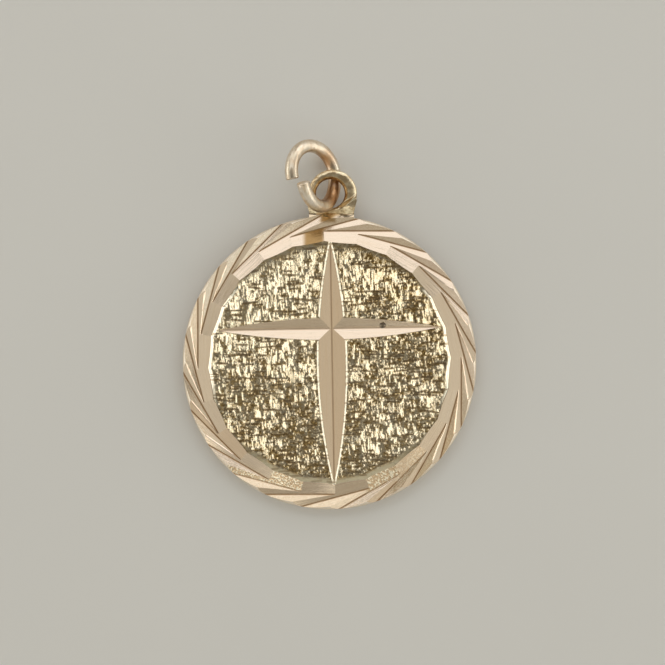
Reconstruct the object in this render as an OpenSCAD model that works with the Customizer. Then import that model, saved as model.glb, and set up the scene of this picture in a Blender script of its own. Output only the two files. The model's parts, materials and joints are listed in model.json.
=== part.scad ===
// Small round gold medal with an engraved cross, an eye at the top and an open jump ring.
// It lies face up: the lower rim and the jump ring touch the floor, and the ring props the eye.
// Millimetres, +Z up, +Y from the foot of the cross towards the eye.

/* [Disc] */
// Diameter of the disc
disc_d = 18; // [16:0.5:20]
// Thickness of the disc
disc_t = 0.85; // [0.8:0.05:1.2]
// Radius of the rounded front edge of the rim
front_edge_r = 0.34; // [0.2:0.02:0.4]
// Radius of the rounded back edge of the rim
back_edge_r = 0.14; // [0.08:0.02:0.2]

/* [Border cuts] */
// Number of wheel cuts round the border
border_cuts = 24; // [20:1:28]
// Distance from the centre of the disc to the valley of a cut
valley_r = 8.075; // [7.9:0.025:8.2]
// Distance along the valley from its middle to the deepest point, clockwise
valley_shift = 1.84; // [1.4:0.02:2]
// Depth of a border cut at its deepest point
border_depth = 0.288; // [0.2:0.004:0.32]
// Radius of the wheel that cuts the border
border_wheel_r = 36.6; // [30:0.2:44]
// Slope of the wide flank, which falls outward from the field
inner_slope = 20; // [16:0.5:24]
// Slope of the narrow flank, which rises outward to the rim
outer_slope = 29.5; // [25:0.5:34]

/* [Cross] */
// Length of the upright bar
upright_len = 14.58; // [13:0.02:14.8]
// Greatest width of the upright bar
upright_w = 1.62; // [1.2:0.02:2]
// Length of the cross bar
bar_len = 13.64; // [12:0.02:14.2]
// Greatest width of the cross bar
bar_w = 1.334; // [1:0.02:1.6]
// Height of the cross bar above the centre of the disc
bar_y = 2.09; // [1.2:0.02:2.6]
// Distance of the upright bar to the right of the centre of the disc
upright_x = 0.16; // [0:0.02:0.3]
// Slope of the flanks of both bars
cross_slope = 20; // [16:0.5:24]
// Turn of the cross, counter-clockwise
cross_turn = 0.95; // [0:0.05:2]

/* [Eye] */
// Outer radius of the eye
eye_outer_r = 1.5; // [1.45:0.01:1.54]
// Thickness of the eye, flush with the front of the disc, its outer edge fully round
eye_t = 0.5; // [0.44:0.02:0.5]
// Height of the middle of the eye above the rim of the disc
eye_rise = 1.33; // [1.3:0.01:1.4]
// Distance of the eye to the right of the centre of the disc
eye_x = 0.18; // [0.1:0.01:0.2]
// Radius of the hole in the eye
eye_hole_r = 0.88; // [0.86:0.01:0.9]
// Radius of the rounded edge of the hole
hole_edge_r = 0.26; // [0.26:0.01:0.3]
// Distance of the hole to the left of the middle of the eye
hole_left = 0.13; // [0:0.01:0.14]
// Distance of the hole above the middle of the eye
hole_up = 0.02; // [0:0.01:0.04]
// Distance of the neck to the right of the centre of the disc
neck_x = 0.12; // [0.08:0.01:0.16]
// Width of the neck at the shoulder of the eye
shoulder_w = 3.12; // [2.9:0.02:3.2]
// Width of the neck where it meets the rim
neck_w = 2.75; // [2.4:0.05:2.9]
// Distance from the centre of the disc to the bottom of the notch in the neck
notch_r = 9.17; // [9.12:0.01:9.2]
// Depth of the notch
notch_depth = 0.21; // [0.15:0.01:0.22]
// Slope of the side of the notch towards the rim
notch_in_slope = 30; // [29:0.5:34]
// Slope of its other side, which rises to the eye
notch_out_slope = 22; // [20:0.5:26]

/* [Jump ring] */
// Diameter of the wire
wire_d = 0.8; // [0.74:0.02:0.8]
// Radius of the upper arm to the middle of the wire
upper_r = 1.79; // [1.75:0.01:1.85]
// Radius of the lower arm, which goes through the eye
lower_r = 2.07; // [2.04:0.01:2.12]
// Lean of the upper arm from the floor
upper_lean = 42.5; // [40:0.5:46]
// Lean of the lower arm from the floor
lower_lean = 60; // [58:0.5:62]
// Forward pitch of the whole ring
ring_pitch = 12; // [10:0.5:13]
// Angle that the upper arm covers
upper_sweep = 198; // [170:1:200]
// Angle that the lower arm covers
lower_sweep = 151; // [140:1:160]
// Clearance between the top of the wire and the underside of the eye
eye_gap = 0.02; // [0:0.01:0.1]

/* [Hidden] */
$fn = 96;
wheel_fn = 720;

gold = [0.80, 0.70, 0.50];
ring_gold = [0.78, 0.66, 0.48];

disc_r = disc_d / 2;
wire_r = wire_d / 2;

// The place of the eye, and of the point where the two arms of the ring meet
eye_y = disc_r + eye_rise;
eye_mid_r = (eye_hole_r + eye_outer_r) / 2;
meet_x = eye_x + 0.14;
meet_y = eye_y + 0.9;

// A wheel of this radius leaves a lens of the given length and width in a flat face
bar_depth = bar_w / 2 * tan(cross_slope);
bar_wheel_r = pow(bar_len / 2, 2) / (2 * bar_depth);
upright_depth = upright_w / 2 * tan(cross_slope);
upright_wheel_r = pow(upright_len / 2, 2) / (2 * upright_depth);

// The upper arm touches the floor, which sets the height of the meeting point
upper_rise = sin(upper_lean) * cos(ring_pitch);
meet_z = wire_r + upper_r * (sqrt(pow(upper_rise, 2) + pow(sin(ring_pitch), 2)) - upper_rise);

// The medal turns about its lower back edge until the eye clears the wire
pivot_y = disc_r - back_edge_r;
eye_lift = meet_z + wire_r + eye_gap - (disc_t - eye_t);
lift = asin(eye_lift / (eye_y + eye_mid_r + pivot_y));

// The origin is under the middle of the whole object
low_y = -pivot_y - front_edge_r + (front_edge_r - back_edge_r) * cos(lift)
    - (disc_t - front_edge_r - back_edge_r) * sin(lift);
upper_side = sin(upper_lean) * sin(ring_pitch);
high_y = meet_y + upper_r * (upper_side + sqrt(pow(cos(ring_pitch), 2) + pow(upper_side, 2))) + wire_r;
centre_y = (low_y + high_y) / 2;

// Part of a wheel with a V edge, its lowest point at the origin and its rolling direction along X
module wheel(radius, slope_in, slope_out) {
    edge_h = 0.8;
    half_turn = acos(1 - edge_h / radius);
    translate([0, 0, radius])
        rotate([-90, 0, 0])
            rotate([0, 0, 90 - half_turn])
                rotate_extrude(angle = 2 * half_turn, $fn = wheel_fn)
                    polygon([
                        [radius, 0],
                        [radius - edge_h, -edge_h / tan(slope_in)],
                        [radius - edge_h, edge_h / tan(slope_out)]
                    ]);
}

// The turned blank of the disc, with a rounded front and back edge
module blank() {
    rotate_extrude($fn = 360) {
        square([disc_r - front_edge_r, disc_t]);
        square([disc_r - back_edge_r, disc_t / 2]);
        translate([0, back_edge_r])
            square([disc_r, disc_t - front_edge_r - back_edge_r]);
        translate([disc_r - front_edge_r, disc_t - front_edge_r])
            circle(front_edge_r);
        translate([disc_r - back_edge_r, back_edge_r])
            circle(back_edge_r);
    }
}

// The section of a flat round plate with a fully round edge
module plate_section() {
    edge_r = eye_t / 2;
    square([eye_outer_r - edge_r, eye_t]);
    translate([eye_outer_r - edge_r, edge_r]) circle(edge_r);
}

// The section of a waisted plug, which leaves a hole with a rounded edge
module hole_section() {
    round_x = eye_hole_r + hole_edge_r;
    difference() {
        translate([0, -eye_t / 2]) square([round_x, 2 * eye_t]);
        translate([round_x, eye_t / 2]) circle(hole_edge_r);
    }
}

// A turned notch, its bottom at the given depth under Z = 0
module notch() {
    edge_h = 0.4;
    rotate_extrude($fn = 360)
        polygon([
            [notch_r, -notch_depth],
            [notch_r + edge_h / tan(notch_out_slope), edge_h - notch_depth],
            [notch_r - edge_h / tan(notch_in_slope), edge_h - notch_depth]
        ]);
}

// The eye and the neck that joins it to the rim
module eye() {
    side = [
        [neck_w / 2, disc_r - 0.6],
        [neck_w / 2, disc_r + 0.25],
        [shoulder_w / 2, eye_y - 0.36],
        [eye_mid_r, eye_y - 0.1]
    ];
    left_side = [for (i = [3 : -1 : 0]) [-side[i][0], side[i][1]]];
    translate([0, 0, disc_t - eye_t])
        difference() {
            union() {
                translate([eye_x, eye_y, 0])
                    rotate_extrude() plate_section();
                translate([neck_x, 0, 0])
                    linear_extrude(eye_t) polygon(concat(side, left_side));
            }
            translate([eye_x - hole_left, eye_y + hole_up, 0])
                rotate_extrude() hole_section();
        }
}

// All the wheel cuts, with the front face at Z = 0
module border() {
    for (k = [0 : border_cuts - 1])
        rotate([0, 0, k * 360 / border_cuts])
            translate([valley_shift, valley_r, -border_depth])
                wheel(border_wheel_r, inner_slope, outer_slope);
}

module cross() {
    rotate([0, 0, cross_turn]) {
        translate([0, bar_y, -bar_depth])
            wheel(bar_wheel_r, cross_slope, cross_slope);
        translate([upright_x, 0, -upright_depth])
            rotate([0, 0, 90])
                wheel(upright_wheel_r, cross_slope, cross_slope);
    }
}

module flat_medal() {
    difference() {
        union() {
            blank();
            difference() {
                eye();
                translate([0, 0, disc_t]) notch();
            }
        }
        translate([0, 0, disc_t]) {
            border();
            cross();
        }
    }
}

module medal() {
    color(gold)
        translate([0, -pivot_y - centre_y, back_edge_r])
            rotate([lift, 0, 0])
                translate([0, pivot_y, -back_edge_r])
                    flat_medal();
}

// One arm of the ring, from the meeting point round to its cut end
module arm(radius, lean, sweep) {
    rotate([0, lean, 0])
        translate([-radius, 0, 0])
            rotate_extrude(angle = sweep, $fn = 180)
                translate([radius, 0]) circle(wire_r, $fn = 48);
}

module jump_ring() {
    color(ring_gold)
        translate([meet_x, meet_y - centre_y, meet_z])
            rotate([-ring_pitch, 0, 0]) {
                arm(upper_r, upper_lean, upper_sweep);
                mirror([0, 1, 0]) arm(lower_r, lower_lean, lower_sweep);
            }
}

medal();
jump_ring();
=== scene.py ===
import json
import math

import bmesh
import bpy
import numpy as np
from mathutils import Matrix, Vector, geometry
from mathutils.bvhtree import BVHTree
from mathutils.kdtree import KDTree


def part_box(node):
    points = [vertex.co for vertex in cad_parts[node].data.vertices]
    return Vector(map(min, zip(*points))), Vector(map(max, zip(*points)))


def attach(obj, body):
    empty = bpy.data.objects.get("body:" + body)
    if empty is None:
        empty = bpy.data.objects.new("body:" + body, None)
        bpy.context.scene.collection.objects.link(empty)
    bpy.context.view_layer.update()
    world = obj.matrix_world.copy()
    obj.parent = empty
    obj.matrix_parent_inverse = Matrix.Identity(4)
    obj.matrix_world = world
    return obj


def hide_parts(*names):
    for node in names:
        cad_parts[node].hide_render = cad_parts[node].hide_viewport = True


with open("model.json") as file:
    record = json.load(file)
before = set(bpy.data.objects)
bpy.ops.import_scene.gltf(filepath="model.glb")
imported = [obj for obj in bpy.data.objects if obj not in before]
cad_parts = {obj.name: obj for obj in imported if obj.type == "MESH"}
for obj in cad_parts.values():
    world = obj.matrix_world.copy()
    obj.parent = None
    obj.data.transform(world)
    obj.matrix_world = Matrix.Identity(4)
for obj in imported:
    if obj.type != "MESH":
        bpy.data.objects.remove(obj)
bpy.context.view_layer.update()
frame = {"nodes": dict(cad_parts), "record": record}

# Lengths are in millimetres, the medal's in its own frame, until a mesh is written in metres
MM = 0.001

# The disc, as the frame's solid has it
DISC_R = 9.0
DISC_T = 0.85
FRONT_EDGE_R = 0.34
BACK_EDGE_R = 0.14

# The wheel cuts of the border, each with a wide inner flank and a narrow outer one
BORDER_CUTS = 24
VALLEY_R = 8.075
VALLEY_SHIFT = 1.84
BORDER_DEPTH = 0.288
BORDER_WHEEL_R = 36.6
INNER_SLOPE = 20
OUTER_SLOPE = 29.5

# The two bars of the cross
UPRIGHT_LEN = 14.58
UPRIGHT_W = 1.62
BAR_LEN = 13.64
BAR_W = 1.334
BAR_Y = 2.09
UPRIGHT_X = 0.16
CROSS_SLOPE = 20
CROSS_TURN = math.radians(0.95)

# The eye
EYE_OUTER_R = 1.5
EYE_T = 0.5
EYE_X = 0.18
EYE_Y = DISC_R + 1.33
HOLE_X = EYE_X - 0.13
HOLE_Y = EYE_Y + 0.02
HOLE_EDGE_R = 0.26
HOLE_ROUND_R = 0.88 + HOLE_EDGE_R
NOTCH_R = 9.17
NOTCH_DEPTH = 0.21
NOTCH_IN_SLOPE = 30
NOTCH_OUT_SLOPE = 22

# The jump ring, whose two arms lean over from the point where they meet
WIRE_R = 0.4
UPPER_R = 1.79
LOWER_R = 2.07
UPPER_LEAN = math.radians(42.5)
LOWER_LEAN = math.radians(60)
RING_PITCH = math.radians(12)
UPPER_SWEEP = math.radians(198)
LOWER_SWEEP = math.radians(151)

# Places in the photograph, which shows the front from straight above
PHOTO_SIZE = 665
PHOTO_MM = 18 / 294
DISC_PIXEL = (329.56, 362.49)

# A vertex lies on a surface when it is no further off than this
TOUCH = 3e-4
# A triangle on it faces its way by at least this cosine
FACING_LEAST = 0.7
# Added where a vector might have no length
TINY = 1e-15
# The field of the medal ends inside this radius
FIELD_R = 7.9


def unit(vectors):
    return vectors / np.linalg.norm(vectors, axis=-1, keepdims=True)


def ramp(values, nought, one):
    """0 at the first bound and beyond it, 1 at the second and beyond it, straight between."""
    return np.clip((values - nought) / (one - nought), 0, 1)


def medal_frame():
    """The middle of the medal's back, and its axes as columns, from the mount on its back."""
    back = next(m for m in frame["record"]["mounts"] if m["name"] == "back_face")
    up = -unit(np.array(back["axis"], float))
    right = np.array([1.0, 0.0, 0.0])
    return np.array(back["pos_m"], float), np.column_stack([right, np.cross(up, right), up])


BACK, AXES = medal_frame()


def to_frame(points):
    """Points of the medal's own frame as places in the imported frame, in metres."""
    return np.asarray(points) * MM @ AXES.T + BACK


class Flank:
    """One flank of a V cut: part of the cone that the edge of the cutting wheel sweeps."""

    def __init__(self, lowest, along, across, depth, wheel_r, slope):
        self.lowest = lowest
        self.along = along
        self.across = across
        self.level = DISC_T - depth + wheel_r
        self.wheel_r = wheel_r
        self.rise = math.tan(math.radians(slope))

    def place(self, points):
        """Distances along the valley from its lowest point, and out from it up this flank."""
        away = points[:, :2] - self.lowest
        return away @ self.along, away @ self.across

    def height(self, points):
        along, out = self.place(points)
        return self.level - np.sqrt((self.wheel_r - out * self.rise) ** 2 - along**2)

    def gap(self, points):
        out = self.place(points)[1]
        return np.where(out > -TOUCH, points[:, 2] - self.height(points), 1.0)

    def normal(self, points):
        along, out = self.place(points)
        reach = self.wheel_r - out * self.rise
        root = np.sqrt(reach**2 - along**2)
        fall = np.outer(along / root, self.along) + np.outer(self.rise * reach / root, self.across)
        return unit(np.column_stack([-fall, np.ones(len(points))]))


class Level:
    """A flat face at one height."""

    def __init__(self, height, facing):
        self.z = height
        self.facing = facing

    def height(self, points):
        return np.full(len(points), self.z)

    def gap(self, points):
        return points[:, 2] - self.z

    def normal(self, points):
        return np.tile([0.0, 0.0, self.facing], (len(points), 1))


class Roll:
    """An edge rounded all the way round a circle."""

    def __init__(self, x, y, height, circle_r, edge_r):
        self.centre = np.array([x, y])
        self.z = height
        self.circle_r = circle_r
        self.edge_r = edge_r

    def place(self, points):
        """Distance out from the circle, and the way out from its centre."""
        away = points[:, :2] - self.centre
        radius = np.maximum(np.linalg.norm(away, axis=1), 1e-9)
        return radius - self.circle_r, away / radius[:, None]

    def height(self, points):
        out = self.place(points)[0]
        return self.z + np.sqrt(np.maximum(self.edge_r**2 - out**2, 0))

    def gap(self, points):
        return np.hypot(self.place(points)[0], points[:, 2] - self.z) - self.edge_r

    def normal(self, points):
        out, way = self.place(points)
        return unit(np.column_stack([way * out[:, None], points[:, 2] - self.z + 1e-9]))


class Funnel:
    """One side of the turned notch, which rises from its bottom outward or back towards the disc."""

    def __init__(self, side, slope):
        self.side = side
        self.rise = math.tan(math.radians(slope))

    def gap(self, points):
        out = (np.linalg.norm(points[:, :2], axis=1) - NOTCH_R) * self.side
        return np.where(out > -TOUCH, points[:, 2] - DISC_T + NOTCH_DEPTH - out * self.rise, 1.0)

    def normal(self, points):
        out = unit(points[:, :2] + 1e-9)
        return unit(np.column_stack([-out * self.side * self.rise, np.ones(len(points))]))


class Wall:
    """The disc's side."""

    def gap(self, points):
        return np.linalg.norm(points[:, :2], axis=1) - DISC_R

    def normal(self, points):
        return unit(points * (1, 1, 0) + 1e-9)


def way(turn):
    """The direction at this turn, and the one to its left."""
    return np.array([math.cos(turn), math.sin(turn)]), np.array([-math.sin(turn), math.cos(turn)])


def border_flanks():
    """The inner and the outer flank of each border cut, in pairs."""
    flanks = []
    for cut in range(BORDER_CUTS):
        along, out = way(2 * math.pi * cut / BORDER_CUTS)
        lowest = along * VALLEY_SHIFT + out * VALLEY_R
        flanks.append(Flank(lowest, along, -out, BORDER_DEPTH, BORDER_WHEEL_R, INNER_SLOPE))
        flanks.append(Flank(lowest, along, out, BORDER_DEPTH, BORDER_WHEEL_R, OUTER_SLOPE))
    return flanks


def bar_flanks(lowest, along, across, length, width):
    """The two flanks of a bar, which a large wheel leaves as a long lens."""
    depth = width / 2 * math.tan(math.radians(CROSS_SLOPE))
    wheel_r = (length / 2) ** 2 / (2 * depth)
    return [Flank(lowest, along, side * across, depth, wheel_r, CROSS_SLOPE) for side in (1, -1)]


right, up = way(CROSS_TURN)
BORDER = border_flanks()
CROSS = bar_flanks(up * BAR_Y, right, up, BAR_LEN, BAR_W)
UPRIGHT_FLANK = len(CROSS)
CROSS += bar_flanks(right * UPRIGHT_X, up, right, UPRIGHT_LEN, UPRIGHT_W)
TOP = Level(DISC_T, 1)
RIM = Roll(0, 0, DISC_T - FRONT_EDGE_R, DISC_R - FRONT_EDGE_R, FRONT_EDGE_R)
SURFACES = BORDER + CROSS + [
    TOP,
    RIM,
    Level(0, -1),
    Level(DISC_T - EYE_T, -1),
    Wall(),
    Roll(0, 0, BACK_EDGE_R, DISC_R - BACK_EDGE_R, BACK_EDGE_R),
    Roll(HOLE_X, HOLE_Y, DISC_T - EYE_T / 2, HOLE_ROUND_R, HOLE_EDGE_R),
    Roll(EYE_X, EYE_Y, DISC_T - EYE_T / 2, EYE_OUTER_R - EYE_T / 2, EYE_T / 2),
    Funnel(1, NOTCH_OUT_SLOPE),
    Funnel(-1, NOTCH_IN_SLOPE),
]
FLANKS = len(BORDER + CROSS)
TOP_KIND = SURFACES.index(TOP)
RIM_KIND = SURFACES.index(RIM)


def cross_sides(corners):
    """A normal for each triangle, twice its area long."""
    return np.cross(corners[:, 1] - corners[:, 0], corners[:, 2] - corners[:, 0])


def read_solid(node):
    """Vertices and triangles of one of the frame's solids, its split vertices joined."""
    solid = bmesh.new()
    solid.from_mesh(frame["nodes"][node].data)
    bmesh.ops.remove_doubles(solid, verts=solid.verts, dist=1e-8)
    solid.verts.index_update()
    points = np.array([v.co for v in solid.verts], float)
    triangles = np.array([[v.index for v in f.verts] for f in solid.faces])
    solid.free()
    return (points - BACK) @ AXES / MM, triangles


def match(points, triangles):
    """The surface that each triangle lies on, or -1 where it is a plain flat wall."""
    corners = points[triangles]
    facing = unit(cross_sides(corners) + TINY)
    middles = corners.mean(1)
    kinds = np.full(len(triangles), -1)
    least = np.full(len(triangles), TOUCH)
    for kind, surface in enumerate(SURFACES):
        gap = np.abs(surface.gap(corners.reshape(-1, 3))).reshape(-1, 3).max(1)
        better = (gap < least) & ((surface.normal(middles) * facing).sum(1) > FACING_LEAST)
        kinds[better] = kind
        least[better] = gap[better]
    return kinds


def edge_distance(points, flanks):
    """How far a point of the field is from the nearest edge of these cuts, and which flank it is."""
    distances = []
    for flank in flanks:
        out = flank.place(points)[1]
        rise = (flank.height(points) - DISC_T) / flank.rise
        distances.append(np.where(out > 0, rise, np.inf))
    distances = np.array(distances)
    return distances.min(0), distances.argmin(0)


# The bark of the field: bundles of short upright flakes and small dots, over level ripples and scratches
CELL = 0.012
CELLS = 1260
# Its strokes start within this distance of the middle each way, and the worked field ends at this radius
BARK_HALF = 7.4
BARK_R = 7.5
# The flakes' slopes are those of torn metal, which breaks off before it reaches its whole height
BARK_DEPTH = 0.27
# The ripples: patches across, patches up, height
RIPPLES = ((26, 150, 0.006), (280, 190, 0.02), (78, 26, 0.06), (150, 50, 0.03))
# A stroke fades out at its ends over this part of its width
STROKE_FADE = 0.7
DOTS = 5600
DOT_WIDTH = (0.06, 0.12)
DOT_SLOPE = (0.2, 0.95)
DOT_LEAN = 0.4
# A dot's length, in its widths
DOT_LENGTH = (1.0, 1.8)
BUNDLES = 2350
# Patches of the maps of where bundles crowd and of which way they face
CROWD_PATCHES = ((16, 12), (44, 36))
TURN_PATCHES = (40, 22)
# How the crowd thickens upward, and to the left by an amount that changes with the height
CROWD_UP = 0.037
CROWD_LEFT = (0.006, 0.002, 0.0005)
# A bundle is left out where the crowd is thinner than this, and more are kept the more it exceeds it
CROWD_LEAST = 0.27
CROWD_GAIN = 2.6
# A bundle's flakes, from the first number to just under the second, and how much they stray
FLAKES = (1, 4)
FLAKE_STRAY = 0.09
TURN_STRAY = 0.07
SLOPE_STRAY = 0.04
FLAKE_SLOPE = (0.62, 0.9)
FLAKE_WIDTH = (0.065, 0.125)
FLAKE_LEAN = (-0.07, 0.1)
# The least length of a flake, and the shape and scale of what it has above that
FLAKE_LEAST = 0.14
FLAKE_MORE = (2.0, 0.13)
# The part of its width by which each flake of a bundle stands beside the last
FLAKE_PITCH = 0.8
SCRATCHES = 460
SCRATCH_LENGTH = (0.3, 1.3)
SCRATCH_WIDTH = (0.09, 0.24)
SCRATCH_LEAN = (0.03, 0.07)
# The part of the bark that a scratch takes away, and how soon it does
SCRATCH_TAKES = 0.7
SCRATCH_GAIN = 1.6
SCRATCH_DEPTH = 0.01
SCRATCH_FALL = 0.012
# Flakes of this height hide the ripples under them
RIPPLE_COVER = 0.012
# The bare margin of the field beside the border, and the part of it that is left at the sides
MARGIN = 0.55
SIDE_MARGIN = 0.12
# Where the bark starts and is whole, in margins
BARK_START = (0.25, 1.25)
CROSS_MARGIN = 0.08
# The dull band's width, the height over which it thins out upward, and the part of it left above that
SATIN_WIDTH = 0.34
SATIN_FADE = 3
SATIN_LEFT = 0.2
# How far sideways the border's edge faces, as a cosine, where the bark starts to reach it and is there
SIDE_FACING = (0.5, 0.8)
# The same for the rolled lip: where it starts above and below the middle, and how soon it is whole
LIP_FACING = (0.76, 0.92)
LIP_FADE = 0.08
LIP_HALF = 0.11
LIP_HEIGHT = 0.094
BURR_HALF = 0.068
BURR_HEIGHT = 0.057
# A lip is whole at this height, and a crest at BARK_DEPTH of it
CREST_WHOLE = 0.02


def drift(rng, across, up):
    """A smooth random map of the field from 0 to 1, with about this many patches each way."""
    knots = rng.random((up + 4, across + 4))

    def spread(rows, count):
        place = np.linspace(1, count + 2, CELLS)
        cell = place.astype(int)
        part = (place - cell)[:, None]
        ease = part * part * (3 - 2 * part)
        return rows[cell] * (1 - ease) + rows[cell + 1] * ease

    return spread(spread(knots, up).T, across).T


def strike(x, y, length, width, lean):
    """The window of the map that a stroke covers, how far along it is whole, and places across it."""
    reach = length / 2 + width
    half = width + reach * abs(math.sin(lean))
    x0, x1 = (int((x + side * half) / CELL + CELLS / 2) for side in (-1, 1))
    y0, y1 = (int((y + side * reach) / CELL + CELLS / 2) for side in (-1, 1))
    window = (slice(max(y0, 0), min(y1, CELLS)), slice(max(x0, 0), min(x1, CELLS)))
    dx = (np.arange(window[1].start, window[1].stop) - CELLS / 2) * CELL - x
    dy = ((np.arange(window[0].start, window[0].stop) - CELLS / 2) * CELL - y)[:, None]
    along = dy * math.cos(lean) + dx * math.sin(lean)
    across = dx * math.cos(lean) - dy * math.sin(lean)
    whole = np.clip((length / 2 - np.abs(along)) / (width * STROKE_FADE), 0, 1)
    return window, whole, across


def lay(maps, x, y, length, width, lean, slope):
    """Adds a flake that rises to the right, or to the left where its slope is negative."""
    window, whole, across = strike(x, y, length, width, lean)
    slant = np.where(np.abs(across) < width / 2, abs(slope) * width / 2 + slope * across, 0)
    rise = np.minimum(slant, whole * abs(slope) * width)
    height, slope_x, slope_y = (layer[window] for layer in maps)
    higher = rise > height
    height[higher] = rise[higher]
    slope_x[higher] = slope * math.cos(lean)
    slope_y[higher] = -slope * math.sin(lean)


def scatter_dots(rng, maps):
    for _ in range(DOTS):
        x, y = rng.uniform(-BARK_HALF, BARK_HALF, 2)
        width = rng.uniform(*DOT_WIDTH)
        slope = rng.uniform(*DOT_SLOPE) * rng.choice((-1, 1))
        length = width * rng.uniform(*DOT_LENGTH)
        lay(maps, x, y, length, width, rng.normal(0, DOT_LEAN), slope)


def scatter_bundles(rng, maps, crowd, turned):
    """Rows of flakes side by side that face one way, thickest towards the upper left of the field."""
    left, left_up, left_high = CROWD_LEFT
    for _ in range(BUNDLES):
        x, y = rng.uniform(-BARK_HALF, BARK_HALF, 2)
        cell = (int(y / CELL + CELLS / 2), int(x / CELL + CELLS / 2))
        gathered = y * CROWD_UP - x * (left + y * left_up + y * y * left_high)
        if rng.random() > (crowd[cell] + gathered - CROWD_LEAST) * CROWD_GAIN:
            continue
        side = 1 if turned[cell] + rng.normal(0, TURN_STRAY) > 0.5 else -1
        slope = rng.uniform(*FLAKE_SLOPE)
        lean = rng.normal(*FLAKE_LEAN)
        for _ in range(rng.integers(*FLAKES)):
            length = FLAKE_LEAST + rng.gamma(*FLAKE_MORE)
            width = rng.uniform(*FLAKE_WIDTH)
            steep = side * (slope + rng.normal(0, SLOPE_STRAY))
            shift = rng.normal(0, FLAKE_STRAY)
            lay(maps, x, y + shift, length, width, lean, steep)
            x += width * FLAKE_PITCH


def scatter_scratches(rng):
    """A map of the level scratches, which are strokes laid on their side."""
    scratches = np.zeros((CELLS, CELLS))
    on_side = scratches.T
    for _ in range(SCRATCHES):
        x, y = rng.uniform(-BARK_HALF, BARK_HALF, 2)
        length = rng.uniform(*SCRATCH_LENGTH)
        width = rng.uniform(*SCRATCH_WIDTH)
        window, whole, across = strike(y, x, length, width, rng.normal(*SCRATCH_LEAN))
        groove = np.clip(whole - np.abs(across) * 2 / width, 0, 1)
        on_side[window] = np.maximum(on_side[window], groove)
    return scratches


def bark(rng):
    """Maps of the bark's height over its plane, of its two slopes, and of its scratches."""
    relief = sum((drift(rng, across, up) - 0.5) * height for across, up, height in RIPPLES)
    slope_y, slope_x = np.gradient(relief, CELL)
    crowd = sum(drift(rng, *patches) / 2 for patches in CROWD_PATCHES)
    turned = drift(rng, *TURN_PATCHES)
    dots, flakes = np.zeros((2, CELLS, CELLS))
    scatter_dots(rng, (dots, slope_x, slope_y))
    scatter_bundles(rng, (flakes, slope_x, slope_y), crowd, turned)
    scratches = scatter_scratches(rng)
    kept = 1 - SCRATCH_TAKES * np.clip(scratches * SCRATCH_GAIN, 0, 1)
    flakes = np.where(flakes > 0, flakes, dots)
    relief *= 1 - np.clip(flakes / RIPPLE_COVER, 0, 1)
    relief = ((relief + flakes) * kept - SCRATCH_DEPTH * (1 - kept)) * BARK_DEPTH
    slope_y = slope_y * kept + np.gradient(kept, CELL)[0] * SCRATCH_FALL
    return relief, slope_x * kept, slope_y, scratches


def ridge(distance, half):
    """The section of a ridge beside an edge: 0 at the edge, 1 at half, and 0 again as far beyond it."""
    return np.clip(1 - np.abs(distance / half - 1), 0, 1)


def lips(points):
    """The height of the rolled lips beside the border and the upright, how far the bark has come in,
    and the dull band at the foot of the field."""
    border = edge_distance(points, BORDER[::2])[0]
    cross, side = edge_distance(points, CROSS)
    facing = np.abs(points[:, 0]) / np.maximum(np.linalg.norm(points, axis=1), 1)
    sideways = ramp(facing, *SIDE_FACING)
    start = np.where(points[:, 1] > 0, *LIP_FACING)
    lip = LIP_HEIGHT * ramp(facing, start, start + LIP_FADE) * ridge(border, LIP_HALF)
    burr = BURR_HEIGHT * (side >= UPRIGHT_FLANK) * ridge(cross, BURR_HALF)
    margin = MARGIN * (1 - (1 - SIDE_MARGIN) * sideways)
    come_in = ramp(border / margin, *BARK_START) * ramp(cross, 0, CROSS_MARGIN)
    satin = (1 - sideways) * np.clip(2 - 2 * border / SATIN_WIDTH, 0, 1)
    satin *= np.clip(0.5 - points[:, 1] / SATIN_FADE, SATIN_LEFT, 1)
    return np.maximum(lip, burr), come_in, satin


def work_field(rng):
    """Maps of the field's height, of its two slopes, and of its scratches, crests, dull band and lips."""
    relief, slope_x, slope_y, scratches = bark(rng)
    axis = (np.arange(CELLS) - CELLS / 2) * CELL
    x, y = np.meshgrid(axis, axis)
    inside = np.hypot(x, y) < BARK_R
    edge, come_in, satin = np.zeros((3, CELLS, CELLS))
    edge[inside], come_in[inside], satin[inside] = lips(np.column_stack([x[inside], y[inside]]))
    relief = relief * come_in
    fall_y, fall_x = np.gradient(edge, CELL)
    on_lip = edge > relief
    slope_x = np.where(on_lip, fall_x, slope_x * come_in)
    slope_y = np.where(on_lip, fall_y, slope_y * come_in)
    height = np.maximum(relief, edge)
    crests = ramp(height, 0, CREST_WHOLE * BARK_DEPTH)
    return height, slope_x, slope_y, scratches, crests, satin, ramp(edge, 0, CREST_WHOLE)


def sample(layer, points):
    """A map's value at these points, eased between its cells."""
    place = points[:, :2] / CELL + CELLS / 2
    cell = np.clip(place.astype(int), 0, CELLS - 2)
    part = np.clip(place - cell, 0, 1)
    x, y = cell[:, 0], cell[:, 1]
    low = layer[y, x] * (1 - part[:, 0]) + layer[y, x + 1] * part[:, 0]
    high = layer[y + 1, x] * (1 - part[:, 0]) + layer[y + 1, x + 1] * part[:, 0]
    return low * (1 - part[:, 1]) + high * part[:, 1]


# The dressed front: the true edges of the solid, with fine points between them
FIELD_STEP = (0.038, 0.056)
EDGE_STEP = 0.05
FLANK_STEP = 0.11
PIT_STEP = 0.5
LIP_ROWS = (0.035, 0.07, 0.11, 0.165, 0.22)
# Fine points are never closer together than this
CLOSEST = 0.018
# Points move this far at most onto a crease, where its slopes differ by enough, squared
SETTLE_REACH = 0.01
SETTLE_SLOPE = 0.01
# How clear of the creases the points of the rim and of the pit stay
ROLL_ROOM = 0.02
PIT_ROOM = 0.01
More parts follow.
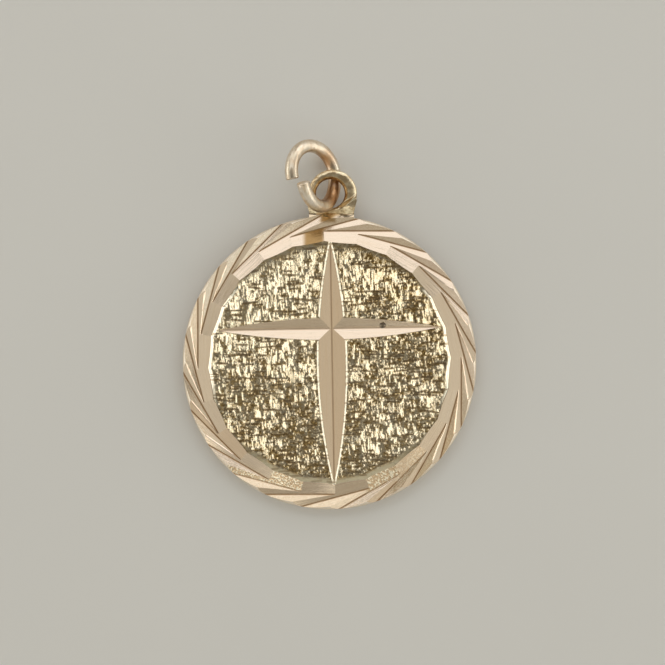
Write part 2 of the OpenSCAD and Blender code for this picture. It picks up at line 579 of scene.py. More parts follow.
# A normal of the field is read this far from its triangle's middle towards the corner
TOWARDS_CORNER = 0.45
# The thin burr along the ridges between the cuts, where they face sideways
RIDGE_HALF = 0.05
RIDGE_RISE = 0.0155
RIDGE_SPAN = (7.75, 8.1, 8.7, 8.95)
RIDGE_FACING = (0.4, 0.9)
ROLL_ROWS = 6
ROLL_STEP = math.radians(0.6)
# Near the eye the rim stays as the solid has it
NECK_HALF = 1.8
# A normal this far off its surface's own, as a cosine, belongs to a burr
BURR_TURN = 0.99
# Sets the grain of each flank apart from the next one's
GRAIN_SHIFT = 5.3
# The border's flanks that the wheel left rough: surface, first and last pixel column, how rough
CHATTER = ((22, 220, 312, 1.0), (28, 368, 406, 1.0), (30, 396, 428, 0.35), (31, 396, 430, 0.35))
CHATTER_FADE = 2
# How rough each narrow outer flank of the border is
OUTER_CHATTER = 0.14
# How dark the painted shade in the valleys of the cross is, beside the border's
CROSS_VALLEY = 0.6
# The flanks of the border and the upright that are coloured browner: surface, how brown
DULL = ((18, 0.5), (30, 0.5), (32, 0.25), (35, 0.5), (45, 0.35), (50, 0.6), (51, 0.4))
# Patches of painted shadow and reflection of the ring below the eye: pixel, half size in pixels and the one
# flank that has it
SHADE_PATCHES = (((314, 238), (12, 20), 2), ((328, 216), (9, 7), None))
# The part of its size in which such a patch is whole
SHADE_PATCH_WHOLE = 2 / 3
# How far the eye's surface faces into its hole, as a cosine, where its painted shade starts and where it is
# whole
HOLE_FACING = (0.075, 0.325)
EYE_START = DISC_R + 0.1
# The pit in the cross bar, which is painted dark inside as painted shade
PIT_PIXEL = (382.5, 325)
PIT_R = 0.19
PIT_MARK_R = PIT_R * 1.1
PIT_RADII = np.linspace(0.02, PIT_R, 6)
PIT_DEPTH = 0.09


def photo_place(pixel):
    """The place on the medal's front that a pixel of the photograph shows."""
    x = (pixel[0] - DISC_PIXEL[0]) * PHOTO_MM
    return np.array([x, (DISC_PIXEL[1] - pixel[1]) * PHOTO_MM])


def creases(triangles, kinds):
    """Edges between two surfaces or on the outline of these triangles, with the kinds on both sides."""
    sides = {}
    for triangle, kind in zip(triangles.tolist(), kinds.tolist()):
        for a, b in zip(triangle, triangle[1:] + triangle[:1]):
            sides.setdefault((min(a, b), max(a, b)), []).append(kind)
    return {edge: met for edge, met in sides.items() if len(met) == 1 or met[0] != met[1]}


def from_pit(points):
    return np.linalg.norm(points[:, :2] - photo_place(PIT_PIXEL), axis=1)


def settle(points, met):
    """Moves points sideways onto the line where two surfaces meet."""
    first, second = (SURFACES[kind] for kind in met)
    step = 1e-3
    for _ in range(2):
        apart = first.height(points) - second.height(points)
        slope = np.empty((len(points), 2))
        for axis in range(2):
            moved = points.copy()
            moved[:, axis] += step
            slope[:, axis] = (first.height(moved) - second.height(moved) - apart) / step
        steep = (slope**2).sum(1)
        shift = -slope * (apart / np.maximum(steep, 1e-3))[:, None]
        reach = np.linalg.norm(shift, axis=1)
        near = np.minimum(1, SETTLE_REACH / np.maximum(reach, 1e-9))
        shift *= (near * (steep > SETTLE_SLOPE))[:, None]
        points[:, :2] += shift
    points[:, 2] = first.height(points)
    return points


def divide_lines(points, lines):
    """Points along the creases, with the solid's own first, their short edges, and rows beside them."""
    fresh = [points]
    edges = []
    rows = []
    sides = []
    burrs = []
    count = len(points)
    for (a, b), met in lines.items():
        inner = len(met) == 2
        parts = 1
        if inner:
            parts = max(1, round(np.linalg.norm(points[a] - points[b]) / EDGE_STEP))
        share = np.linspace(0, 1, parts + 1)[1:-1, None]
        between = points[a] * (1 - share) + points[b] * share
        if parts > 1:
            between = settle(between, met)
        chain = [a, *range(count, count + parts - 1), b]
        line = np.vstack([points[a], between])
        if inner and max(met) < len(BORDER) and met[0] // 2 != met[1] // 2:
            burrs += chain
            sides += [line - np.append(SURFACES[kind].across, 0) * RIDGE_HALF for kind in met]
        edges += list(zip(chain, chain[1:]))
        count += parts - 1
        fresh.append(between)
        if inner and TOP_KIND in met and min(met) < FLANKS:
            across = np.append(SURFACES[min(met)].across, 0)
            rows += [line + across * row for row in LIP_ROWS]
    every = np.vstack(fresh)
    burrs = np.unique(burrs)
    radius = np.linalg.norm(every[burrs, :2], axis=1)
    swell = np.interp(radius, RIDGE_SPAN, (0, 1, 1, 0))
    swell *= ramp(np.abs(every[burrs, 0]) / radius, *RIDGE_FACING)
    every[burrs, 2] += RIDGE_RISE * swell
    return every, edges, np.vstack(rows), np.vstack(sides)


def grid(half, step_x, step_y):
    x, y = np.meshgrid(np.arange(-half, half, step_x), np.arange(-half, half, step_y))
    x[1::2] += step_x / 2
    return np.column_stack([x.ravel(), y.ravel(), np.zeros(x.size)])


def circles(middle, radii, step):
    turn = np.arange(0, 2 * math.pi, step)
    rings = [np.column_stack([r * np.cos(turn), r * np.sin(turn), 0 * turn]) for r in radii]
    return np.vstack(rings) + np.append(middle, 0)


def fill(rows, sides, kind_at, clear_of_lines):
    """Points inside the surfaces, closer together where a surface is worked."""
    field = grid(FIELD_R, *FIELD_STEP)
    field = field[np.linalg.norm(field, axis=1) < FIELD_R]
    distance = edge_distance(field, BORDER + CROSS)[0]
    field = field[distance > LIP_ROWS[-1] + FIELD_STEP[0] / 2]
    distance = edge_distance(rows, BORDER + CROSS)[0]
    rows = rows[distance > LIP_ROWS[0] * 0.8]
    pit = photo_place(PIT_PIXEL)
    roll = DISC_R - FRONT_EDGE_R + FRONT_EDGE_R * np.sin(np.linspace(0, math.pi / 2, ROLL_ROWS + 2)[1:-1])
    chosen = [field, rows]
    for points, wanted, room in (
        (sides, lambda kind: 0 <= kind < FLANKS, RIDGE_HALF * 0.7),
        (circles((0, 0), roll, ROLL_STEP), lambda kind: kind == RIM_KIND, ROLL_ROOM),
        (grid(DISC_R, FLANK_STEP, FLANK_STEP), lambda kind: 0 <= kind < FLANKS, FLANK_STEP / 2),
        (circles(pit, PIT_RADII, PIT_STEP), lambda kind: True, PIT_ROOM),
    ):
        keep = [wanted(kind_at(x, y)) and clear_of_lines(x, y) > room for x, y in points[:, :2]]
        chosen.append(points[keep])
    return np.vstack(chosen)


def thin(points, room):
    """Leaves out each point that lies within this distance of an earlier one."""
    cells = np.round(points[:, :2] / room).astype(int)
    first = np.unique(cells, axis=0, return_index=True)[1]
    return points[np.sort(first)]


def front_height(points, kinds, relief):
    """The dressed height of points inside the surfaces."""
    height = np.zeros(len(points))
    for kind in np.unique(kinds):
        here = kinds == kind
        height[here] = SURFACES[kind].height(points[here])
    field = kinds == TOP_KIND
    height[field] += sample(relief, points[field])
    height -= PIT_DEPTH * np.clip(1 - (from_pit(points) / PIT_R) ** 2, 0, 1)
    return height


def dress_front(points, triangles, kinds, relief):
    """Cuts the front into fine triangles. Gives all points, the new triangles and their kinds."""
    on_lines, edges, rows, sides = divide_lines(points, creases(triangles, kinds))
    used = sorted({index for edge in edges for index in edge})
    tree = KDTree(len(used))
    for index in used:
        tree.insert((*on_lines[index, :2], 0), index)
    tree.balance()
    flat = [Vector((*place, 0)) for place in points[:, :2]]
    plan = BVHTree.FromPolygons(flat, triangles.tolist())

    def kind_at(x, y):
        hit = plan.ray_cast(Vector((x, y, 1)), Vector((0, 0, -1)))[2]
        return -1 if hit is None else int(kinds[hit])

    inner = thin(fill(rows, sides, kind_at, lambda x, y: tree.find((x, y, 0))[2]), CLOSEST)
    inner_kinds = np.array([kind_at(x, y) for x, y in inner[:, :2]])
    inner, inner_kinds = inner[inner_kinds >= 0], inner_kinds[inner_kinds >= 0]
    inner[:, 2] = front_height(inner, inner_kinds, relief)
    order = {index: spot for spot, index in enumerate(used)}
    every = np.vstack([on_lines[used], inner])
    short = [(order[a], order[b]) for a, b in edges]
    plane = [Vector(spot) for spot in every[:, :2]]
    cut = geometry.delaunay_2d_cdt(plane, short, [], 0, 1e-7, True)
    source = np.array([origin[0] if origin else -1 for origin in cut[3]])
    faces = source[np.array(cut[2])]
    faces = faces[(faces >= 0).all(1)]
    middles = every[faces].mean(1)
    face_kinds = np.array([kind_at(x, y) for x, y in middles[:, :2]])
    faces, face_kinds = faces[face_kinds >= 0], face_kinds[face_kinds >= 0]
    joined = np.vstack([on_lines, inner])
    back = np.concatenate([used, len(on_lines) + np.arange(len(inner))])
    return joined, back[faces], face_kinds


def field_normals(corners, slope_x, slope_y):
    """Normals of the worked field, read a little inside each triangle so that crests stay sharp."""
    middles = corners.mean(1, keepdims=True)
    places = (corners * TOWARDS_CORNER + middles * (1 - TOWARDS_CORNER)).reshape(-1, 3)
    fall = [-sample(slope, places) for slope in (slope_x, slope_y)]
    return unit(np.column_stack([*fall, np.ones(len(places))])).reshape(-1, 3, 3)


def corner_normals(points, triangles, kinds, rough):
    """A normal for each corner: its surface's own, or the mesh's where the surface is worked."""
    corners = points[triangles]
    normals = np.empty_like(corners)
    face = cross_sides(corners)
    for kind in np.unique(kinds):
        here = kinds == kind
        if kind < 0:
            normals[here] = unit(face[here] + TINY)[:, None]
        else:
            normals[here] = SURFACES[kind].normal(corners[here].reshape(-1, 3)).reshape(-1, 3, 3)
    keys = triangles * (len(SURFACES) + 1) + (kinds + 1)[:, None]
    spot = np.unique(keys, return_inverse=True)[1].reshape(-1)
    total = np.zeros((spot.max() + 1, 3))
    np.add.at(total, spot, np.repeat(face, 3, axis=0))
    normals[rough] = unit(total[spot] + TINY).reshape(-1, 3, 3)[rough]
    return normals


def add_object(name, data):
    piece = bpy.data.objects.new(name, data)
    bpy.context.scene.collection.objects.link(piece)
    return piece


def write_mesh(name, points, triangles, normals, marks):
    """A mesh object from points in the medal's frame, with marks for each corner."""
    used, triangles = np.unique(triangles, return_inverse=True)
    triangles = triangles.reshape(-1, 3)
    mesh = bpy.data.meshes.new(name)
    mesh.from_pydata(to_frame(points[used]).tolist(), [], triangles.tolist())
    mesh.polygons.foreach_set("use_smooth", [True] * len(mesh.polygons))
    for mark, values in marks.items():
        vector = values.ndim == 3
        layer = mesh.attributes.new(mark, "FLOAT_VECTOR" if vector else "FLOAT", "CORNER")
        layer.data.foreach_set("vector" if vector else "value", values.ravel())
    mesh.normals_split_custom_set((normals.reshape(-1, 3) @ AXES.T).tolist())
    return add_object(name, mesh)


def regions(kinds, middles):
    """Which triangles lie in the cuts, and which in the field."""
    radius = np.linalg.norm(middles[:, :2], axis=1)
    return (kinds >= 0) & (kinds < FLANKS), (kinds == TOP_KIND) & (radius < FIELD_R)


def front_faces(kinds, middles):
    """Which triangles are dressed: the cuts', the field's, and the rim's away from the neck."""
    cut, field = regions(kinds, middles)
    by_neck = (np.abs(middles[:, 0] - EYE_X) < NECK_HALF) & (middles[:, 1] > 0)
    return cut | field | ((kinds == RIM_KIND) & ~by_neck)


def flank_marks(corners, kinds):
    """The grain, which runs along each cut, how rough the wheel left it, and how much browner it is
    coloured.
    """
    grain = corners.copy()
    for kind in range(FLANKS):
        here = kinds == kind
        along, out = SURFACES[kind].place(corners[here].reshape(-1, 3))
        shift = np.full(len(out), kind * GRAIN_SHIFT)
        grain[here] = np.column_stack([along, out, shift]).reshape(-1, 3, 3)
    rough, dull = np.zeros((2, len(kinds), 3))
    rough[(kinds >= 0) & (kinds < len(BORDER)) & (kinds % 2 == 1)] = OUTER_CHATTER
    for kind, first, last, most in CHATTER:
        columns = corners[kinds == kind, :, 0] / PHOTO_MM + DISC_PIXEL[0]
        ends = (first - CHATTER_FADE, first, last, last + CHATTER_FADE)
        rough[kinds == kind] = np.interp(columns, ends, (0, most, most, 0))
    for kind, brown in DULL:
        dull[kinds == kind] = brown
    return grain, rough, dull


def painted_shade_mark(corners, normals, kinds, eye):
    """Painted shade inside the eye's hole, and painted shadow and reflection of the ring below the eye."""
    from_eye = corners[..., :2] - (EYE_X, EYE_Y)
    inward = -(normals[..., :2] * from_eye).sum(2) / np.maximum(np.linalg.norm(from_eye, axis=2), 1e-6)
    painted_shade = eye * ramp(inward, *HOLE_FACING)
    for pixel, half, shaded_flank in SHADE_PATCHES:
        away = np.abs(corners[..., :2] - photo_place(pixel)) / (np.array(half) * PHOTO_MM)
        shade_patch = ramp(away.max(2), 1, SHADE_PATCH_WHOLE)
        if shaded_flank is not None:
            shade_patch *= (kinds == shaded_flank)[:, None]
        painted_shade = np.maximum(painted_shade, shade_patch)
    return painted_shade


def dress_medal():
    """The medal with its field's bark, rolled lips, rough places, and marks for painted shade and highlights
    worked into the solid's own surfaces.
    """
    points, triangles = read_solid("medal")
    kinds = match(points, triangles)
    front = front_faces(kinds, points[triangles].mean(1))
    relief, slope_x, slope_y, *uneven = work_field(np.random.default_rng(7))
    every, fresh, fresh_kinds = dress_front(points, triangles[front], kinds[front], relief)
    triangles = np.vstack([triangles[~front], fresh])
    kinds = np.concatenate([kinds[~front], fresh_kinds])
    corners = every[triangles]
    middles = corners.mean(1)
    cut, field = regions(kinds, middles)
    border = (kinds >= 0) & (kinds < len(BORDER))
    pit = (from_pit(middles) < PIT_MARK_R) & (middles[:, 2] > DISC_T / 2)
    normals = corner_normals(every, triangles, kinds, pit)
    normals[field] = field_normals(corners[field], slope_x, slope_y)
    flat = unit(cross_sides(corners) + TINY)
    burr = border & ((flat * normals.mean(1)).sum(1) < BURR_TURN)
    normals[burr] = flat[burr][:, None]
    grain, chatter, dull = flank_marks(corners, kinds)
    eye = (corners[..., 1] > EYE_START) * 1.0
    # Painted shade in the eye's hole and painted shadow and reflection of the ring below it
    painted_shade = painted_shade_mark(corners, normals, kinds, eye)
    marks = {"grain": grain, "chatter": chatter, "dull": dull, "eye": eye, "painted_shade": painted_shade}
    rim = kinds == RIM_KIND
    valley = np.where(border, 1.0, cut * CROSS_VALLEY)
    for name, share in (("field", field), ("cut", cut), ("valley", valley), ("rim", rim), ("pit", pit)):
        marks[name] = share[:, None] * np.ones((1, 3))
    for name, layer in zip(("scratch", "crest", "satin", "lip"), uneven):
        marks[name] = np.zeros((len(triangles), 3))
        marks[name][field] = sample(layer, corners[field].reshape(-1, 3)).reshape(-1, 3)
    return write_mesh("medal_dressed", every, triangles, normals, marks)


# The jump ring's wire
RING_SIDES = 40
RING_STEP = math.radians(3.5)
END_BEVEL = 0.05
# The arms meet this far to the right of the middle of the eye
MEET_RIGHT = 0.14
# An edge of the wire turns sharper than this only at its cut ends
END_TURN = math.radians(25)
# Where the wire is painted brown, as painted shade where it passes through the eye's hole and as a painted
# reflection inside the upper arm: where it starts to be, and where it is
HOLE_SHADE = (1.35, 0.45)
ARM_SHADE = (0.8, 0.3)
ARM_SHADE_PIXEL = (325, 161)
ARM_SHADE_MOST = 0.8


def ring_spine():
    """Points along the wire's middle in the frame's millimetres, from the upper end to the lower."""
    upper_rise = math.sin(UPPER_LEAN) * math.cos(RING_PITCH)
    meet_z = WIRE_R + UPPER_R * (math.hypot(upper_rise, math.sin(RING_PITCH)) - upper_rise)
    upper_side = math.sin(UPPER_LEAN) * math.sin(RING_PITCH)
    reach = UPPER_R * (upper_side + math.hypot(math.cos(RING_PITCH), upper_side)) + WIRE_R
    meet = np.array([EYE_X + MEET_RIGHT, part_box("jump_ring")[1].y / MM - reach, meet_z])
    spine = []
    for radius, lean, sweep, side in (
        (UPPER_R, UPPER_LEAN, UPPER_SWEEP, 1),
        (LOWER_R, LOWER_LEAN, LOWER_SWEEP, -1),
    ):
        turns = np.linspace(0, sweep, round(sweep / RING_STEP) + 1)
        back = radius * (1 - np.cos(turns))
        arm = np.column_stack([-back * math.cos(lean), side * radius * np.sin(turns), back * math.sin(lean)])
        spine = arm[::-1].tolist() if side == 1 else spine + arm[1:].tolist()
    pitch = np.array(Matrix.Rotation(-RING_PITCH, 3, "X"))
    return np.array(spine) @ pitch.T + meet


def sweep_wire(spine):
    """A tube of wire round the spine, closed by a flat end with a small bevel at each end."""
    ways = unit(np.gradient(spine, axis=0))
    side = unit(np.cross(ways[0], [0, 0, 1]))
    stations = [(spine[0], WIRE_R - END_BEVEL), (spine[0] + ways[0] * END_BEVEL, WIRE_R)]
    frames = [(ways[0], side)] * 2
    for place, ahead in zip(spine[1:-1], ways[1:-1]):
        side = unit(side - ahead * side.dot(ahead))
        stations.append((place, WIRE_R))
        frames.append((ahead, side))
    side = unit(side - ways[-1] * side.dot(ways[-1]))
    stations += [(spine[-1] - ways[-1] * END_BEVEL, WIRE_R), (spine[-1], WIRE_R - END_BEVEL)]
    frames += [(ways[-1], side)] * 2
    turns = np.arange(RING_SIDES) * 2 * math.pi / RING_SIDES
    rings = []
    for (place, radius), (ahead, side) in zip(stations, frames):
        lift = np.cross(ahead, side)
        rings.append(place + radius * (np.outer(np.cos(turns), side) + np.outer(np.sin(turns), lift)))
    return np.array(rings)


def make_ring():
    """The open ring of round wire, with painted shade where it passes through the eye and a painted
    reflection inside its upper arm.
    """
    rings = sweep_wire(ring_spine()) * MM
    wire = bmesh.new()
    loops = [[wire.verts.new(spot) for spot in ring] for ring in rings]
    for low, high in zip(loops, loops[1:]):
        for a, b, c, d in zip(low, low[1:] + low[:1], high[1:] + high[:1], high):
            wire.faces.new((a, b, c, d)).smooth = True
    wire.faces.new(loops[0][::-1])
    wire.faces.new(loops[-1])
    bmesh.ops.recalc_face_normals(wire, faces=wire.faces)
    for edge in wire.edges:
        if len(edge.link_faces) == 2 and edge.calc_face_angle() > END_TURN:
            edge.smooth = False
    mesh = bpy.data.meshes.new("jump_ring_wire")
    wire.to_mesh(mesh)
    wire.free()
    places = np.array([vertex.co for vertex in mesh.vertices])
    from_hole = np.linalg.norm(places - to_frame((EYE_X, EYE_Y, DISC_T)), axis=1) / MM
    shade_patch = to_frame((*photo_place(ARM_SHADE_PIXEL), 0))
    from_shade_patch = np.linalg.norm((places - shade_patch)[:, :2], axis=1) / MM
    painted_shade = np.maximum(ramp(from_hole, *HOLE_SHADE), ramp(from_shade_patch, *ARM_SHADE) * ARM_SHADE_MOST)
    mesh.attributes.new("painted_shade", "FLOAT", "POINT").data.foreach_set("value", painted_shade)
    return add_object("jump_ring_wire", mesh)


class Signal:
    """A socket of a finish. Arithmetic on it adds Math nodes."""

    def __init__(self, finish, socket):
        self.finish = finish
        self.socket = socket

    def math(self, operation, first, second=0.0):
        return self.finish.add("Math", {"operation": operation}, {0: first, 1: second})

    def __add__(self, other):
        return self.math("ADD", self, other)

    def __sub__(self, other):
        return self.math("SUBTRACT", self, other)

    def __rsub__(self, other):
        return self.math("SUBTRACT", other, self)

    def __mul__(self, other):
        return self.math("MULTIPLY", self, other)

    def __abs__(self):
        return self.math("ABSOLUTE", self)

    __radd__ = __add__
    __rmul__ = __mul__

    def ease(self, low, high):
        """0 below low, 1 above high, smooth between."""
        settings = {"interpolation_type": "SMOOTHSTEP"}
        return self.finish.add("MapRange", settings, {"Value": self, "From Min": low, "From Max": high})


class Finish:
    """A procedural material. Every node that isn't plain arithmetic comes from add()."""

    def __init__(self, name):
        self.material = bpy.data.materials.new(name)
        self.material.use_nodes = True
        self.material.node_tree.nodes.clear()

    def add(self, kind, settings, inputs, output=0):
        node = self.material.node_tree.nodes.new("ShaderNode" + kind)
        for name, value in settings.items():
            setattr(node, name, value)
        for name, value in inputs.items():
            if isinstance(value, Signal):
                self.material.node_tree.links.new(value.socket, node.inputs[name])
            else:
                node.inputs[name].default_value = value
        return Signal(self, node.outputs[output] if len(node.outputs) else None)

    def mark(self, name, output="Fac"):
        return self.add("Attribute", {"attribute_name": name}, {}, output)

    def noise(self, vector, scale, detail=2.0):
        return self.add("TexNoise", {}, {"Vector": vector, "Scale": scale, "Detail": detail})

    def streaks(self, vector, scale, detail=2.0):
        """Noise with a scale of its own along each axis."""
        stretched = self.add("VectorMath", {"operation": "MULTIPLY"}, {0: vector, 1: scale})
        return self.noise(stretched, 1.0, detail)

    def mix(self, share, first, second):
        return self.add("Mix", {"data_type": "RGBA"}, {0: share, 6: first, 7: second}, 2)

    def bump(self, height, distance):
        return self.add("Bump", {}, {"Height": height, "Distance": distance, "Strength": 1.0})

    def metal(self, color, roughness, normal):
        inputs = {"Base Color": color, "Metallic": 1.0, "Roughness": roughness, "Normal": normal}
        shader = self.add("BsdfPrincipled", {}, inputs)
        self.add("OutputMaterial", {}, {"Surface": shader})
        return self.material


# The golds and browns, as linear colours
CUT_GOLD = ((0.84, 0.7, 0.56, 1), (0.88, 0.74, 0.59, 1))
CUT_DULL = (0.69, 0.51, 0.34, 1)
CUT_STREAK = (0.72, 0.52, 0.32, 1)
# Painted shade for the line along each valley
VALLEY_SHADE = (0.3, 0.16, 0.06, 1)
# A painted highlight for the rolled rim
RIM_HIGHLIGHT = (0.97, 0.88, 0.74, 1)
# A sandy tone for the rough places, and near white for painted glints
SAND_AND_GLINTS = ((0.68, 0.5, 0.32, 1), (1.0, 0.93, 0.76, 1))
FIELD_GOLD = ((0.9, 0.78, 0.57, 1), (0.94, 0.85, 0.66, 1))
# Brown, grey and dark for painted shade in the hollows of the bark; the brown is partly tone
FIELD_BROWN = (0.7, 0.46, 0.15, 1)
FIELD_GREY = (0.68, 0.69, 0.64, 1)
FIELD_SHADE = (0.28, 0.16, 0.035, 1)
SATIN_GOLD = (0.86, 0.79, 0.6, 1)
# A painted highlight for the rolled lips
LIP_HIGHLIGHT = (0.97, 0.91, 0.78, 1)
# Painted shade for the scratches
SCRATCH_SHADE = (0.38, 0.26, 0.14, 1)
PIT_SHADE = (0.12, 0.1, 0.08, 1)
EYE_GOLD = ((1.0, 0.86, 0.6, 1), (0.6, 0.41, 0.19, 1))
# Painted shade in the eye's hole, and painted shadow and reflection of the ring below the eye
SHADE_BROWN = (0.38, 0.23, 0.085, 1)
WIRE_GOLD = ((0.84, 0.75, 0.62, 1), (0.76, 0.63, 0.48, 1))
WIRE_PATINA = (0.56, 0.4, 0.25, 1)
# Painted shade and painted reflection on the wire
WIRE_SHADE_BROWN = (0.5, 0.24, 0.08, 1)
WIRE_STREAK = (0.6, 0.43, 0.27, 1)
FLOOR_GREY = ((0.79, 0.79, 0.78, 1), (0.83, 0.83, 0.82, 1))
# The depths of the fine relief that the finishes add, in metres
MEDAL_BUMP = 0.000012
WIRE_BUMP = 0.000009
# The crease across the right of the eye, where its strip was folded over: a line in the plan
FOLD_WAY = (0.593, -0.807, 0.0)
FOLD_PLACE = -7.298
FOLD_HALF = 0.13
FOLD_START = (0.45, 0.75)
# Half the width of the line of painted shade in a valley: where it is whole, and where it has gone
VALLEY_HALF = (0.016, 0.08)


def field_color(finish, grain, crest, x, y):
    """The bark: painted shade in brown, grey and dark between its flakes, dull at its foot, a painted
    highlight on its lips.
    """
    color = finish.mix(finish.noise(grain, 2.2), *FIELD_GOLD)
    # Brown streaks, partly tone and partly painted shade: kept off the crests and varying across the field
    brown = finish.streaks(grain, (1.8, 5.1, 1.5), 4.0).ease(0.3, 0.65)
    brown = brown * (0.8 - crest * 0.7 + x * (0.01 + y * 0.007))
    color = finish.mix(brown, color, FIELD_BROWN)
    # Grey as painted shade in the hollows off the crests
    grey = finish.noise(grain, 1.2).ease(0.52, 0.7)
    color = finish.mix(grey * (0.45 - crest * 0.45), color, FIELD_GREY)
    # Dark painted shade in the hollows off the crests, darkest towards the upper right
    dark = finish.streaks(grain, (6.0, 9.0, 1.0))
    dark = (dark + x * (0.009 + y * 0.003)).ease(0.48, 0.66)
    color = finish.mix(dark * (0.75 - crest * 0.7), color, FIELD_SHADE)
    color = finish.mix(finish.mark("satin") * 0.8, color, SATIN_GOLD)
    # A painted highlight: the rolled lips are coloured paler
    return finish.mix(finish.mark("lip") * 0.7, color, LIP_HIGHLIGHT)


def medal_finish():
    finish = Finish("wheel_cut_gold")
    grain = finish.mark("grain", "Vector")
    x, y = (finish.add("SeparateXYZ", {}, {0: grain}, axis) for axis in (0, 1))
    marks = ("field", "cut", "chatter", "eye", "crest", "satin", "rim")
    field, cut, chatter, eye, crest, satin, rim = (finish.mark(name) for name in marks)

    # Colour: the cuts and the field, then what lies over both
    spread = finish.noise(grain, 0.8, 3.0)
    gold = finish.mix(finish.mark("dull"), finish.mix(spread, *CUT_GOLD), CUT_DULL)
    color = finish.mix(field, gold, field_color(finish, grain, crest, x, y))
    # A line of painted shade along each valley, broken up by noise
    valley = (1 - abs(y).ease(*VALLEY_HALF)) * finish.mark("valley")
    uneven = finish.streaks(grain, (1.3, 1.0, 1.0))
    color = finish.mix(valley * (0.65 + uneven * 0.5), color, VALLEY_SHADE)
    # Painted shade in the grooves of the scratches
    color = finish.mix(finish.mark("scratch").ease(0.1, 0.75) * 0.6, color, SCRATCH_SHADE)
    # Painted shade inside the pit
    color = finish.mix(finish.mark("pit") * 0.9, color, PIT_SHADE)
    handled = finish.noise(grain, 3.1, 3.0).ease(0.42, 0.62)
    color = finish.mix(eye * 0.85, color, finish.mix(handled * 0.65, *EYE_GOLD))
    streaks = finish.streaks(grain, (0.4, 9.0, 1.0), 3.0).ease(0.45, 0.75)
    color = finish.mix(streaks * cut * 0.16, color, CUT_STREAK)
    # Painted shade in the eye's hole, and painted shadow and reflection of the ring below the eye
    color = finish.mix(finish.mark("painted_shade") * 0.95, color, SHADE_BROWN)
    speckle = finish.noise(grain, 8.5, 1.0)
    # The rough places: a sandy tone, speckled with near white as painted glints
    color = finish.mix(chatter * 0.85, color, finish.mix(speckle.ease(0.47, 0.6), *SAND_AND_GLINTS))
    # A painted highlight: the rolled rim is coloured paler
    color = finish.mix(rim * 0.7, color, RIM_HIGHLIGHT)

    # Relief: wheel lines, rough places, the hand-worked eye with its crease, and fine tears in the bark
    fold = finish.add("VectorMath", {"operation": "DOT_PRODUCT"}, {0: grain, 1: FOLD_WAY}, 1)
    fold = (1 - abs(fold - FOLD_PLACE).ease(0.0, FOLD_HALF)) * x.ease(*FOLD_START)
    height = finish.streaks(grain, (0.6, 22.0, 1.0)) * cut * 0.35 + speckle * chatter * 1.2
    height = height + (finish.noise(grain, 2.0, 1.0) * 12.0 + fold * 9.0) * eye
    fine = finish.streaks(grain, (9.0, 5.0, 1.0)) * field
    normal = finish.bump(height + fine * (3.8 - crest * 3.4) * (1 - satin), MEDAL_BUMP)

    roughness = 0.13 + spread * 0.06 + field * 0.05 + chatter * 0.05 + valley * 0.25 + eye * 0.14
    return finish.metal(color, roughness + satin * 0.36 + rim * 0.3, normal)


def ring_finish():
    finish = Finish("drawn_wire_gold")
    place = finish.add("TexCoord", {}, {}, "Object")
    spread = finish.noise(place, 1800.0, 3.0)
    color = finish.mix(spread.ease(0.35, 0.75), *WIRE_GOLD)
    patina = finish.noise(place, 950.0, 2.0).ease(0.45, 0.7)
    color = finish.mix(patina * 0.5, color, WIRE_PATINA)
    # Painted shade in the eye's hole and a painted reflection inside the upper arm
    color = finish.mix(finish.mark("painted_shade") * 0.85, color, WIRE_SHADE_BROWN)
    scratches = finish.streaks(place, (9000.0, 2500.0, 6000.0))
    color = finish.mix(scratches.ease(0.5, 0.7) * 0.4, color, WIRE_STREAK)
    normal = finish.bump(scratches + patina * 2.0, WIRE_BUMP)
    return finish.metal(color, 0.25 + spread * 0.12, normal)


def floor_finish():
    finish = Finish("pale_floor")
    place = finish.add("TexCoord", {}, {}, "Object")
    color = finish.mix(finish.noise(place, 60.0, 4.0), *FLOOR_GREY)
    inputs = {"Base Color": color, "Roughness": 0.65}
    finish.add("OutputMaterial", {}, {"Surface": finish.add("BsdfPrincipled", {}, inputs)})
    return finish.material


# The studio, in metres and degrees: lights stand round the medal at this distance
LIGHT_REACH = 0.3
CAMERA_HEIGHT = 0.32
CAMERA_SENSOR = 36.0
CAMERA_NEAR = 0.01
FLOOR_SIZE = 1.2
WHITE = (1.0, 1.0, 1.0)
CREAM = (1.0, 0.97, 0.9)
WARM = (1.0, 0.97, 0.85)
TAN = (1.0, 0.94, 0.76)
AMBER = (0.95, 0.78, 0.34)
COOL = (0.9, 0.96, 0.92)
WORLD_TINT = (1.0, 0.92, 0.76, 1)
WORLD_STRENGTH = 0.168
# Each light: azimuth from +X, lean from overhead, half sizes as angles seen from the medal, radiance, tint
LIGHTS = {
    "key": (92, 39, 32.5, 10.2, 0.97, WHITE),
    "back_left_foot": (147, 59, 17, 8, 0.17, AMBER),
    "key_foot": (91, 58, 24, 8, 0.87, WARM),
    "right_side": (-4, 40, 37, 10, 0.48, WARM),
    "right_front_foot": (-35.5, 58, 22, 8, 0.68, COOL),
    "right_foot": (0, 58, 10, 8, 0.66, WARM),
    "left_side": (188, 40, 31.8, 10, 0.4, WARM),
    "left_side_middle": (187, 40, 10, 10, 0.1, WARM),
    "left_side_front": (240, 40, 8, 9, 0.28, WARM),
    "left_foot": (177, 58, 13, 8, 0.28, TAN),
    "left_front_foot": (218, 58, 25, 8, 0.43, CREAM),
    "front": (281, 40, 9, 9, 0.27, TAN),
    "front_foot": (276, 59, 23, 8, 0.31, TAN),
    "front_left": (255, 40, 5.5, 9, 1.2, WARM),
    "front_right": (298, 40, 4.5, 9, 0.85, WARM),
    "right_back_foot": (38, 58, 9, 8, 0.3, WARM),
    "right_low": (0, 77, 38, 11, 1.62, CREAM),
    "left_low": (180, 77, 38, 11, 1.62, CREAM),
    "back_right_low": (62, 77, 20, 11, 1.6, WHITE),
    "back_left_low": (116, 77, 18, 11, 0.9, WHITE),
    "front_low": (270, 77, 45, 11, 0.4, WHITE),
}


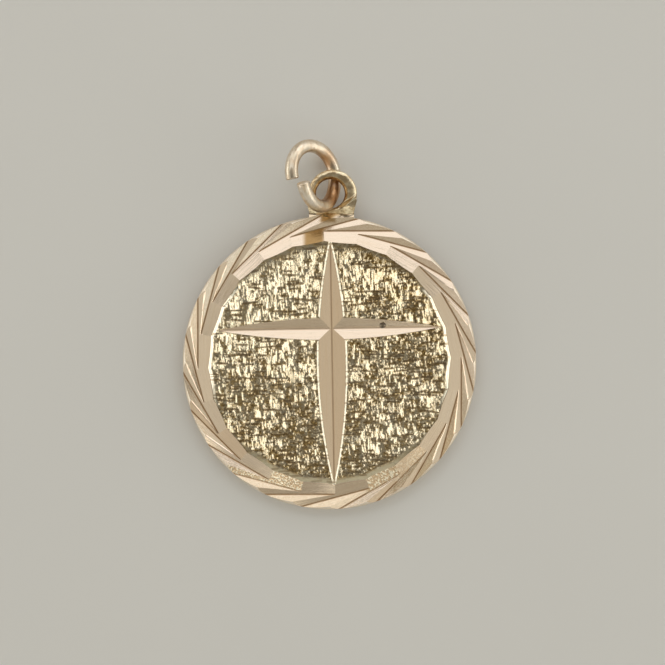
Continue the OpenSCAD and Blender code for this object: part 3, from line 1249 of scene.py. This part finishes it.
def softbox(name, azimuth, lean, half_width, half_height, radiance, tint):
    """A rectangular light facing the medal, with the power for this radiance."""
    size = [2 * LIGHT_REACH * math.tan(math.radians(half)) for half in (half_width, half_height)]
    light = bpy.data.lights.new(name, "AREA")
    light.shape = "RECTANGLE"
    light.size, light.size_y = size
    light.energy = radiance * math.pi * size[0] * size[1]
    light.color = tint
    holder = add_object(name, light)
    turn, tilt = math.radians(azimuth), math.radians(lean)
    place = Vector((math.sin(tilt) * math.cos(turn), math.sin(tilt) * math.sin(turn), math.cos(tilt)))
    holder.location = place * LIGHT_REACH
    holder.rotation_euler = (-place).to_track_quat("-Z", "Y").to_euler()
    holder.visible_camera = False


def light_studio():
    for name, light in LIGHTS.items():
        softbox(name, *light)
    world = bpy.data.worlds.new("studio")
    world.use_nodes = True
    background = world.node_tree.nodes["Background"]
    background.inputs["Color"].default_value = WORLD_TINT
    background.inputs["Strength"].default_value = WORLD_STRENGTH
    bpy.context.scene.world = world
    bpy.context.scene.view_settings.view_transform = "Standard"


def place_camera():
    """Straight above the medal, with the photograph's frame round it."""
    middle = photo_place((PHOTO_SIZE / 2, PHOTO_SIZE / 2)) * MM
    lens = bpy.data.cameras.new("overhead")
    lens.sensor_width = CAMERA_SENSOR
    face = (BACK + AXES[:, 2] * DISC_T * MM)[2]
    lens.lens = CAMERA_SENSOR * (CAMERA_HEIGHT - face) / (PHOTO_SIZE * PHOTO_MM * MM)
    lens.clip_start = CAMERA_NEAR
    holder = add_object("overhead", lens)
    holder.location = (middle[0], middle[1] + BACK[1], CAMERA_HEIGHT)
    bpy.context.scene.camera = holder


def lay_floor():
    bpy.ops.mesh.primitive_plane_add(size=FLOOR_SIZE)
    floor = bpy.context.object
    floor.name = "floor"
    floor.data.materials.append(floor_finish())


medal = dress_medal()
medal.data.materials.append(medal_finish())
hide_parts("medal")
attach(medal, "root")

ring = make_ring()
ring.data.materials.append(ring_finish())
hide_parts("jump_ring")
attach(ring, "root")

lay_floor()
light_studio()
place_camera()
